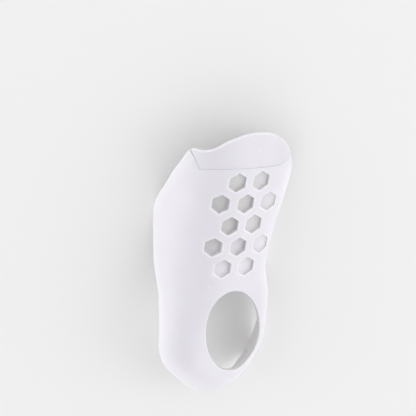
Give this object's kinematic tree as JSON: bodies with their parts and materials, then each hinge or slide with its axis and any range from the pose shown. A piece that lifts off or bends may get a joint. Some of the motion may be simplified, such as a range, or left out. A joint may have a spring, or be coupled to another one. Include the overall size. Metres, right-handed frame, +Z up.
{
  "type": "arch support insole",
  "caption": "Moulded insole for a left foot with a deep heel cup, an oval heel opening, a tall arch flange, hexagonal pockets in its sole and a thin front pad.",
  "frame": {"origin": "on the ground, under the middle of the insole's box as it lies sole up on its rim", "axes": "+Y from the heel to the toes, +X towards the outer side of the foot, +Z up; the sole faces up, leaning about 27 degrees to the outer side"},
  "size_m": [0.0764, 0.1748, 0.0366],
  "materials": {
    "shell_plastic": "satin moulded plastic, cool white",
    "pad_plastic": "satin moulded plastic, slightly greyer white"
  },
  "bodies": {
    "root": {"arch_shell": "shell_plastic", "front_pad": "pad_plastic"}
  },
  "joints": []
}
